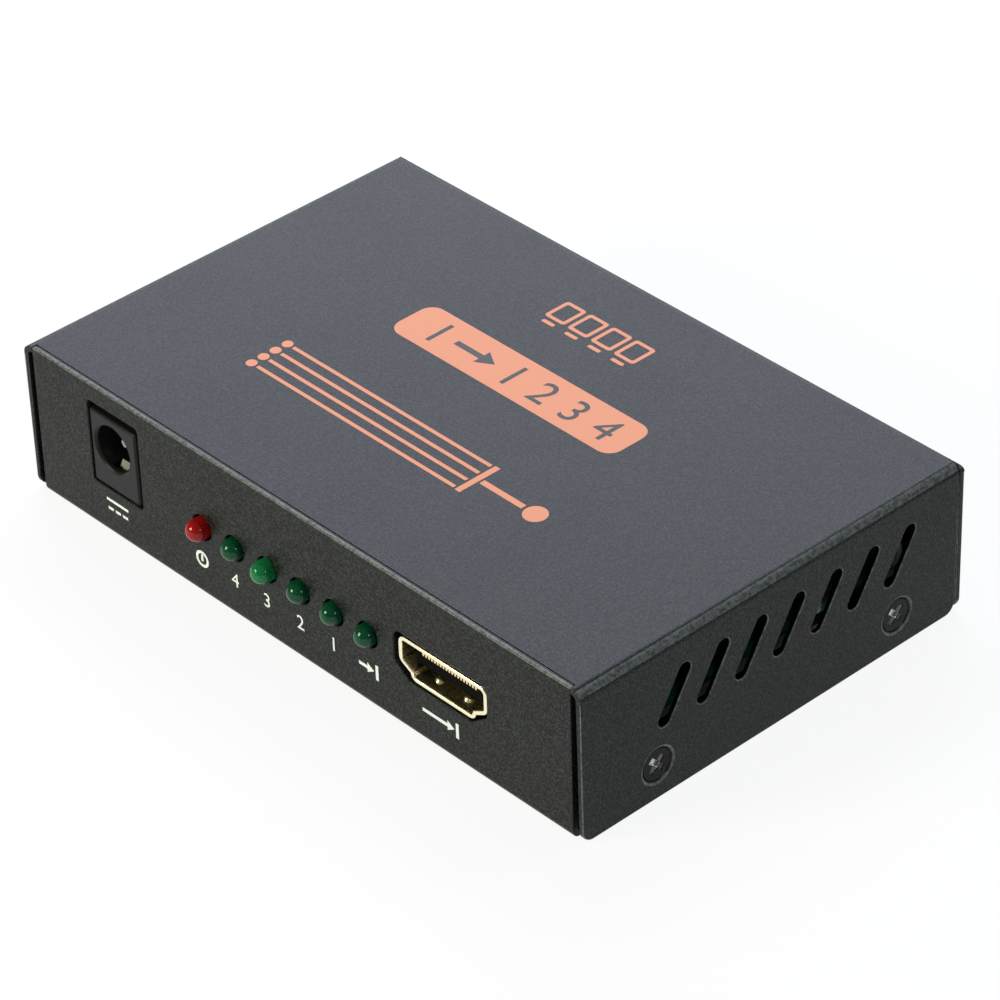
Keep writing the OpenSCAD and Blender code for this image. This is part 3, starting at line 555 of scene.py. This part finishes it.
softEdges = {
    # piece: (node, rounding of its edges, zones of a smaller share with x counted from the middle plane)
    "paintedCover": ("top_cover", 0.16, [
        ((47.2, -40, 20.0), (51, 40, 23), 0.0),
        ((0, -31, 21), (47.2, -30, 23), 0.4),
    ]),
    "paintedTray": ("base_tray", 0.36, [
        ((0, -40, -1), (51, 40, 21.4), 0.42),
        ((48.2, -40, -1), (51, 40, 23), 0.42),
        ((0, -31.1, 21.4), (48.2, 40, 23), 0.2),
        ((0, -32, 21.4), (48.2, -31.1, 23), 0.6),
    ]),
    "crossHeadScrews": ("cover_screws", 0.07, []),
    "jackHousing": ("jack_body", 0.36, [((0, -29, -1), (51, 40, 23), 0.6)]),
    "inputTongue": ("input_socket_tongue", 0.12, []),
}
for channel in (1, 2, 3, 4):
    softEdges["outputTongue%d" % channel] = ("output_socket_%d_tongue" % channel, 0.12, [])

for pieceName, (nodeName, rounding, zones) in softEdges.items():
    softCopy(pieceName, nodeName, rounding, zones)
print("soft edges on", len(softEdges), "pieces")

# Video sockets

socketSet = {
    "mouth": (14.0, 4.55),
    "slant": (1.95, 1.8, 0.74),  # across, and its upper and lower ends above the mouth's bottom
    "corner": 0.5,
    "hollow": 0.4,  # radius of the two corners that turn the other way
    "shell": 0.35,
    "lip": 0.6,
    "length": 11.0,
    "arcSteps": 7,
    "rollSteps": 6,
    "bump": (2.45, 1.9, 0.62, 0.5),  # offset from the middle, distance in, radius, height
    "bumpSteps": (9, 24),  # rows from its top to its foot, and points round it
    "legs": (2.4, 7.4, 1.0),  # distances in and width of the legs
    "tips": (19, 0.5, 0.26),  # contact tips at the tongue's upper edge: number, pitch, width
    "tipEdge": (1.12, 0.5, 0.3),  # their top above the tongue's middle, height and length
    "tipProud": 0.04,
    "rollOut": (0.16, 0.2),  # growth and depth of the lip's outer roll
    "rollIn": (0.14, 0.16),  # and of its inner roll
    "neck": [(0, 0.75), (0.04, 0.55)],  # growth past the wall and depth where the lip starts
    "lipBack": (-0.05, 0.4),  # growth past the lip and depth of its back edge
    "bumpSink": 0.01,  # how far a bump's foot lies in the wall
}


def mouthOutline(grow):
    # Outline of the mouth grown outwards: an arc at each corner about a fixed centre, whose radius is the
    # corner's plus the growth, or less it at the two hollow corners until the runs there simply meet,
    # and straight runs between the arcs
    wide, high = np.array(socketSet["mouth"]) / 2
    across, up, foot = socketSet["slant"]
    right = np.array([[wide - across, -high], [wide - across, foot - high], [wide, up - high], [wide, high]])
    left = right[::-1] * (-1, 1)
    points = np.concatenate([left[-1:], right, left[:-1]])
    edges = np.roll(points, -1, axis=0) - points
    after = np.stack([edges[:, 1], -edges[:, 0]], axis=1) / np.linalg.norm(edges, axis=1)[:, None]
    before = np.roll(after, 1, axis=0)
    spread = 1 + (before * after).sum(axis=1)
    way = np.sign(before[:, 0] * after[:, 1] - before[:, 1] * after[:, 0])[:, None]
    corner = np.where(way > 0, socketSet["corner"], max(socketSet["hollow"], grow))
    centres = points - way * corner * (before + after) / spread[:, None]
    share = np.linspace(0, 1, socketSet["arcSteps"])[None, :]
    first = np.arctan2(before[:, 1], before[:, 0])[:, None]
    sweep = np.arccos(np.clip(spread - 1, -1, 1))[:, None]
    angle = first + way * sweep * share
    reach = (way * corner + grow)[:, :, None]
    arcs = centres[:, None, :] + reach * np.stack([np.cos(angle), np.sin(angle)], axis=-1)
    return arcs.reshape(-1, 2)


def shellGrid():
    # The shell's section (growth, depth) carried round the mouth: outer wall, rolled lip, inner wall
    wall = socketSet["shell"]
    lip = socketSet["lip"]
    back = socketSet["length"]
    roll = np.linspace(0, math.pi / 2, socketSet["rollSteps"])
    outWide, outDeep = socketSet["rollOut"]
    inWide, inDeep = socketSet["rollIn"]
    outer = np.stack([lip - outWide + outWide * np.cos(roll), outDeep - outDeep * np.sin(roll)], axis=1)
    inner = np.stack([inWide - inWide * np.sin(roll), inDeep - inDeep * np.cos(roll)], axis=1)
    neck = np.array(socketSet["neck"]) + (wall, 0)
    lipBack = np.array([socketSet["lipBack"]]) + (lip, 0)
    section = np.concatenate([[[wall, back]], neck, lipBack, outer, inner, [[0, back]]])
    rings = np.stack([mouthOutline(grow) for grow in section[:, 0]])
    depth = np.broadcast_to(section[:, 1][:, None, None], rings.shape[:2] + (1,))
    return np.concatenate([rings[..., :1], depth, rings[..., 1:]], axis=-1)


def domeGrid(centre, radius, height):
    # A bump: half of a ball flattened to its height, so it falls as the root of one less the share squared
    rows, columns = socketSet["bumpSteps"]
    share = np.sin(np.linspace(0, math.pi / 2, rows))[:, None]
    turn = np.linspace(0, 2 * math.pi, columns, endpoint=False)[None, :]
    x = centre[0] + radius * share * np.cos(turn)
    y = centre[1] + radius * share * np.sin(turn)
    z = centre[2] + height * np.sqrt(1 - share ** 2) + 0 * turn
    return np.stack([x, y, z], axis=-1)


def barGrid(low, high):
    # A closed block: a square section carried from the low to the high z, with both ends drawn to a point
    (x0, y0, z0), (x1, y1, z1) = low, high
    ring = np.array([[x0, y0], [x1, y0], [x1, y1], [x0, y1]])
    middle = np.broadcast_to(ring.mean(axis=0), ring.shape)
    levels = [(middle, z0), (ring, z0), (ring, z1), (middle, z1)]
    return np.stack([np.column_stack([flat, np.full(4, z)]) for flat, z in levels])


def outwardFace(low, high):
    # Which way a socket opens along y, and the y of its front
    return (1, high[1]) if low[1] + high[1] > 0 else (-1, low[1])


def addSocketShell(name, node):
    low, high = boxOf(node)
    faceOut, front = outwardFace(low, high)
    halfWide, halfHigh = np.array(socketSet["mouth"]) / 2
    middle = high[2] - halfHigh - socketSet["lip"]
    boardDrop = low[2] - middle
    centre = np.array([(low[0] + high[0]) / 2, front, middle])
    wall = socketSet["shell"]
    grids = [(shellGrid(), True, True)]
    offset, inward, radius, height = socketSet["bump"]
    firstLeg, secondLeg, legWidth = socketSet["legs"]
    for side in (-1, 1):
        foot = (side * offset, inward, -halfHigh - socketSet["bumpSink"])
        grids.append((domeGrid(foot, radius, height), False, True))
        x = side * (halfWide + wall / 2)
        for leg in (firstLeg, secondLeg):
            legLow = (x - wall / 2, leg - legWidth / 2, boardDrop)
            legHigh = (x + wall / 2, leg + legWidth / 2, 0.0)
            grids.append((barGrid(legLow, legHigh), False, True))
    turn = np.array([-faceOut, -faceOut, 1.0])
    placed = [(grid * turn + centre, ringRows, ringColumns) for grid, ringRows, ringColumns in grids]
    addPiece(name, gridMesh(name, placed), finishOf[node], [node])


def addContactTips(name, socket):
    # A row of short blocks that show where the contacts reach round the tongue's upper front edge
    low, high = boxOf(socket + "_tongue")
    shellTop = boxOf(socket + "_shell")[1][2]
    faceOut, front = outwardFace(low, high)
    count, pitch, wide = socketSet["tips"]
    top, tall, long = socketSet["tipEdge"]
    level = shellTop - socketSet["mouth"][1] / 2 - socketSet["lip"] + top
    near, far = sorted((front + faceOut * socketSet["tipProud"], front - faceOut * long))
    middles = (low[0] + high[0]) / 2 + (np.arange(count) - (count - 1) / 2) * pitch
    bars = [barGrid((x - wide / 2, near, level - tall), (x + wide / 2, far, level)) for x in middles]
    mesh = gridMesh(name, [(bar, False, True) for bar in bars])
    addPiece(name, mesh, finishes["contact_gold"])


addSocketShell("inputShell", "input_socket_shell")
addContactTips("inputTips", "input_socket")
for channel in (1, 2, 3, 4):
    addSocketShell("outputShell%d" % channel, "output_socket_%d_shell" % channel)
    addContactTips("outputTips%d" % channel, "output_socket_%d" % channel)
print("socket shells and contact tips made")

# Lamps

lampSet = {
    "lens": 3.0,
    "flange": (3.8, 1.0),  # width and length
    "fillet": 0.05,  # where the barrel meets the flange
    "chamfer": 0.1,  # round the flange
    "domeSteps": 14,
    "turns": 40,
}


def lampGrid(length):
    # A lathe profile (distance from the tip, radius) turned about the lamp's axis: dome, barrel, flange, back
    radius = lampSet["lens"] / 2
    flangeWide, flangeLong = lampSet["flange"]
    rise = np.linspace(0, math.pi / 2, lampSet["domeSteps"])
    dome = np.stack([radius - radius * np.cos(rise), radius * np.sin(rise)], axis=1)
    edge = flangeWide / 2
    start = length - flangeLong
    fillet, chamfer = lampSet["fillet"], lampSet["chamfer"]
    tail = np.array([[start - fillet, radius], [start, radius + fillet], [start, edge - chamfer],
                     [start + chamfer, edge], [length - chamfer, edge],
                     [length, edge - chamfer], [length, 0]])
    profile = np.concatenate([dome, tail])
    turn = np.linspace(0, 2 * math.pi, lampSet["turns"], endpoint=False)[None, :]
    x = profile[:, 1][:, None] * np.cos(turn)
    z = profile[:, 1][:, None] * np.sin(turn)
    y = profile[:, 0][:, None] + 0 * turn
    return np.stack([x, y, z], axis=-1)


def addLamp(name, node):
    low, high = boxOf(node)
    middle = (low + high) / 2
    tip = np.array([middle[0], low[1], middle[2]])
    mesh = gridMesh(name, [(lampGrid(high[1] - low[1]) + tip, False, True)])
    addPiece(name, mesh, finishOf[node], [node])


lampNames = {"powerLens": "power_lamp", "channelLens4": "channel_lamp_4", "channelLens3": "channel_lamp_3",
             "channelLens2": "channel_lamp_2", "channelLens1": "channel_lamp_1", "inputLens": "input_lamp"}
for pieceName, nodeName in lampNames.items():
    addLamp(pieceName, nodeName)
print("lamps made:", len(lampNames))

# Print

printSet = {
    "ink": 0.015,  # height of the ink's face over what it lies on
    "inkBody": 0.9,  # share of that height that the sheet of ink fills
    "bar": (-20.1, 2.4, 19.5, 10.0, 2.0),  # x0, y0, x1, y1, corner
    "screens": (-8.4, 16.9, 3.5, 5.4, 4.1),  # first corner, width, height, distance to the next
    "screenFrame": (0.55, 0.5, 0.2),  # width of a screen's frame, its outer and inner corners
    "screenFoot": (0.7, 0.6, 0.25, 1.2),  # inset, height and corner of its foot, and where the frame starts
    "barDigits": [("1", -14.6), ("1", -1.2), ("2", 4.2), ("3", 9.6), ("4", 15.0)],  # numerals and their x
    "barDigitHigh": 4.4,
    "barArrow": (-11.6, -4.6),  # x of its tail and tip
    "lampDigits": [("4", -10.8), ("3", -4.9), ("2", 1.25), ("1", 7.26)],
    "lampDigitHigh": 2.0,
    "lampDigitLevel": 5.8,
    "lines": (-8.75, -10.7, -12.65, -14.6),  # y of the four lines that join
    "linesFrom": -26.2,
    "linesMeet": 11.6,
    "linesEnd": 21.6,
    "lineWide": 0.55,
    "joinWide": 1.6,  # the upright and the last line, as a share of the others
    "joinGap": 0.8,
    "joinOver": 0.4,  # how far the upright runs past the lines
    "dots": (0.75, 1.1, 1.6, 2.0),  # radius and clear distance of the small dots and of the large one
    "arrowHead": 0.6,  # half width of an arrow's head as a share of its length
    "barArrowWide": (0.9, 2.4),  # shaft and head
    "markWide": (0.5, 1.2),  # and of the marks on the front
    "power": (-17.0, 5.7, 1.2, 0.4),  # x, z, radius and line of the ring mark
    "powerStem": (0.3, 0.1),  # how far its upright runs down, and its distance from the ring
    "supply": (-33.4, 4.85, 4.2, 1.3, 0.4, 0.2),  # x, z, width, height, line, half gap
    "inputs": [(13.4, 5.7, 3.2), (25.95, 4.85, 6.0)],  # x, z and width of the marks for the input
    "inputStop": (0.5, 1.1),  # distance from an arrow to its upright, and half the upright's height
}


def softBox(x0, y0, x1, y1, corner, steps=7):
    # Outline of a box with round corners, anticlockwise from the lower right
    start = np.array([-math.pi / 2, 0, math.pi / 2, math.pi])[:, None]
    angle = start + np.linspace(0, math.pi / 2, steps)[None, :]
    centres = np.array([[x1 - corner, y0 + corner], [x1 - corner, y1 - corner],
                        [x0 + corner, y1 - corner], [x0 + corner, y0 + corner]])
    arcs = centres[:, None, :] + corner * np.stack([np.cos(angle), np.sin(angle)], axis=-1)
    return arcs.reshape(-1, 2)


def disc(x, y, radius, steps=28):
    # Outline of a circle: the radius turned about the middle
    turn = np.linspace(0, 2 * math.pi, steps, endpoint=False)
    return np.stack([x + radius * np.cos(turn), y + radius * np.sin(turn)], axis=-1)


def filled(outline):
    # Flat patch: the outline drawn together to its middle
    middle = np.broadcast_to(outline.mean(axis=0), outline.shape)
    return np.stack([outline, middle])


def band(outer, inner):
    # Flat ring between two outlines with as many points each
    return np.stack([outer, inner])


topFace = boxOf("top_cover")[1][2]
frontFace = boxOf("base_tray")[0][1]


def onTop(flat):
    # Flat (x, y) points laid on the cover
    height = np.full(flat.shape[:-1] + (1,), topFace + printSet["ink"])
    return np.concatenate([flat, height], axis=-1)


def onBar(flat):
    # Flat (x, y) points laid on the printed bar
    height = np.full(flat.shape[:-1] + (1,), topFace + 2 * printSet["ink"])
    return np.concatenate([flat, height], axis=-1)


def onFront(flat):
    # Flat (x, z) points laid on the front panel
    out = np.full(flat.shape[:-1] + (1,), frontFace - printSet["ink"])
    return np.concatenate([flat[..., :1], out, flat[..., 1:]], axis=-1)


def addPrint(name, patches, lay, finish, facing):
    # Flat patches as one sheet of ink
    mesh = gridMesh(name, [(lay(patch), False, True) for patch in patches])
    addInk(name, mesh, finish, facing)


def addDigits(name, digits, high, level, lay, finish, facing):
    # Plain numerals, each with its own sheet of ink
    for count, (digit, x) in enumerate(digits):
        label = "%s%d" % (name, count)
        addInk(label, digitMesh(label, digit, high, (x, level), lay), finish, facing)


def addInk(name, mesh, finish, facing):
    # A sheet turned to face outwards and given the ink's thickness
    mesh.shade_flat()
    turnFaces(mesh, facing)
    piece = addPiece(name, mesh, finish)
    thick = piece.modifiers.new("inkThickness", "SOLIDIFY")
    thick.thickness = printSet["ink"] * mm * printSet["inkBody"]
    thick.offset = -1


def turnFaces(mesh, facing):
    # Faces that look away from the given direction are turned round
    work = bmesh.new()
    work.from_mesh(mesh)
    wrong = [face for face in work.faces if face.normal.dot(facing) < 0]
    bmesh.ops.reverse_faces(work, faces=wrong)
    work.to_mesh(mesh)
    work.free()


def digitMesh(name, text, size, centre, lay):
    # Plain numerals from Blender's own font, made a mesh and laid about their centre
    curve = bpy.data.curves.new(name, "FONT")
    curve.body = text
    curve.size = 1.0
    curve.align_x = "CENTER"
    holder = bpy.data.objects.new(name + "Shape", curve)
    mesh = bpy.data.meshes.new_from_object(holder)
    bpy.data.objects.remove(holder)
    flat = np.zeros(len(mesh.vertices) * 3)
    mesh.vertices.foreach_get("co", flat)
    flat = flat.reshape(-1, 3)[:, :2]
    low, high = flat.min(axis=0), flat.max(axis=0)
    flat = (flat - (low + high) / 2) * size / (high[1] - low[1]) + np.array(centre)
    mesh.vertices.foreach_set("co", (lay(flat) * mm).ravel())
    mesh.update()
    return mesh


upWay = (0, 0, 1)
frontWay = (0, -1, 0)


def screenPatches():
    # Four framed screens, each on a foot
    x, y, wide, high, step = printSet["screens"]
    frameWide, outerCorner, innerCorner = printSet["screenFrame"]
    inset, footHigh, footCorner, rise = printSet["screenFoot"]
    patches = []
    for left in x + np.arange(4) * step:
        outer = softBox(left, y + rise, left + wide, y + high, outerCorner)
        inner = softBox(left + frameWide, y + rise + frameWide,
                        left + wide - frameWide, y + high - frameWide, innerCorner)
        patches.append(band(outer, inner))
        patches.append(filled(softBox(left + inset, y, left + wide - inset, y + footHigh, footCorner)))
    return patches


def stroke(x0, y0, x1, y1, wide):
    # A straight line of ink from point to point
    run, rise = x1 - x0, y1 - y0
    long = math.hypot(run, rise)
    across, along = wide / 2 * -rise / long, wide / 2 * run / long
    return filled(np.array([[x0 + across, y0 + along], [x0 - across, y0 - along],
                            [x1 - across, y1 - along], [x1 + across, y1 + along]]))


def arrowPatches(tail, tip, level, wide, head):
    # Arrow along x: a shaft and a triangle
    neck = tip - head
    half = head * printSet["arrowHead"]
    point = np.array([[tip, level], [neck, level + half], [neck, level - half]])
    return [stroke(tail, level, neck, level, wide), filled(point)]


def joinPatches():
    # Four lines with dots at one end, an upright where they meet, and one line on to a larger dot
    low, high = min(printSet["lines"]), max(printSet["lines"])
    middle = (low + high) / 2
    wide = printSet["lineWide"]
    broad = wide * printSet["joinWide"]
    gap, over = printSet["joinGap"], printSet["joinOver"]
    begin, meet, end = printSet["linesFrom"], printSet["linesMeet"], printSet["linesEnd"]
    smallDot, smallClear, largeDot, largeClear = printSet["dots"]
    patches = [stroke(meet, low - over, meet, high + over, broad),
               stroke(meet + gap, middle, end - largeClear, middle, broad),
               filled(disc(end, middle, largeDot))]
    for level in printSet["lines"]:
        patches.append(stroke(begin + smallClear, level, meet - gap, level, wide))
        patches.append(filled(disc(begin, level, smallDot)))
    return patches


def powerPatches(x, z, radius, wide):
    # Ring with an upright inside
    down, clear = printSet["powerStem"]
    ring = band(disc(x, z, radius), disc(x, z, radius - wide))
    return [ring, stroke(x, z - down, x, z + radius - wide - clear, wide)]


def supplyPatches(x, z, wide, high, line, halfGap):
    # A long line over three short ones
    left, third = x - wide / 2, wide / 3
    low, top = z - high / 2, z + high / 2
    patches = [stroke(left, top, left + wide, top, line)]
    for start in left + np.arange(3) * third:
        patches.append(stroke(start + halfGap, low, start + third - halfGap, low, line))
    return patches


def inputPatches(x, z, wide):
    # An arrow that points at an upright line
    clear, half = printSet["inputStop"]
    line, head = printSet["markWide"]
    stop = x + wide / 2
    arrow = arrowPatches(x - wide / 2, stop - clear, z, line, head)
    return arrow + [stroke(stop, z - half, stop, z + half, line)]


addPrint("printBar", [filled(softBox(*printSet["bar"]))], onTop, orangeInk, upWay)
barLevel = (printSet["bar"][1] + printSet["bar"][3]) / 2
addDigits("barDigit", printSet["barDigits"], printSet["barDigitHigh"], barLevel, onBar, darkInk, upWay)
barArrow = arrowPatches(*printSet["barArrow"], barLevel, *printSet["barArrowWide"])
addPrint("barArrow", barArrow, onBar, darkInk, upWay)
addPrint("printScreens", screenPatches(), onTop, orangeInk, upWay)
addPrint("printLines", joinPatches(), onTop, orangeInk, upWay)
addDigits("lampDigit", printSet["lampDigits"], printSet["lampDigitHigh"], printSet["lampDigitLevel"],
          onFront, whiteInk, frontWay)
firstInput, secondInput = printSet["inputs"]
frontMarks = (powerPatches(*printSet["power"]) + inputPatches(*firstInput)
              + supplyPatches(*printSet["supply"]) + inputPatches(*secondInput))
addPrint("frontMarks", frontMarks, onFront, whiteInk, frontWay)
print("print laid")
